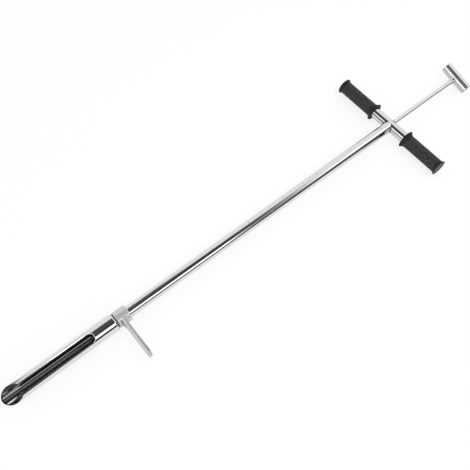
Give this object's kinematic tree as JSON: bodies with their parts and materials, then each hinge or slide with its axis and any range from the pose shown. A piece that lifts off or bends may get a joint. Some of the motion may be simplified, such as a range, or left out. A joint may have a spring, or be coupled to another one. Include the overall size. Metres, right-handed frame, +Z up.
{
  "type": "soil sampling probe",
  "caption": "Chromed soil sampling probe with a slotted, obliquely ground tube, a sliding foot collar, a crossbar with flanged rubber grips and a T-handled push rod that ejects the core.",
  "frame": {"origin": "on the ground under the middle of the tool's length, with the tool lying on its grips as in the picture", "axes": "+X along the tool from the cutting tip to the push handle, +Y along the crossbar away from the foot arm, +Z up"},
  "size_m": [1.2806, 0.316, 0.043],
  "materials": {
    "chrome": "polished chrome plate on steel tube",
    "cast_alloy": "matte, as cast and tumbled",
    "grip_rubber": "matte, fine raised texture",
    "seal_rubber": "smooth, slightly waxy",
    "bush_bronze": "sintered, oiled",
    "turned_steel": "turned, zinc grey"
  },
  "bodies": {
    "probe_frame": {"sampling_tube": "chrome", "barrel_head": "chrome", "head_bush": "bush_bronze", "rod_wiper": "seal_rubber", "shaft_tube": "chrome", "crossbar_tube": "chrome", "crossbar_bush": "bush_bronze", "grip_left": "grip_rubber", "grip_right": "grip_rubber"},
    "depth_collar": {"foot_collar": "cast_alloy", "collar_grub_screw": "turned_steel"},
    "ejector_piston": {"piston_disc": "turned_steel", "piston_ring": "seal_rubber"},
    "ejector_rod": {"push_rod": "chrome", "rod_shoulder": "turned_steel", "shoulder_pin": "turned_steel", "washer_upper": "turned_steel", "washer_lower": "turned_steel", "rod_nut": "turned_steel", "handle_tube": "chrome", "handle_boss": "chrome", "handle_cap_left": "chrome", "handle_cap_right": "chrome"}
  },
  "joints": [
    {"name": "collar_slide", "type": "slide", "parent": "probe_frame", "child": "depth_collar", "axis": [1, 0, 0], "range_m": [0, 0.7]},
    {"name": "piston_slide", "type": "slide", "parent": "probe_frame", "child": "ejector_piston", "axis": [-1, 0, 0], "range_m": [0, 0.198]},
    {"name": "rod_turn", "type": "hinge", "parent": "ejector_piston", "child": "ejector_rod", "pos_m": [-0.41835, 0, 0.0215], "axis": [1, 0, 0], "continuous": true}
  ]
}
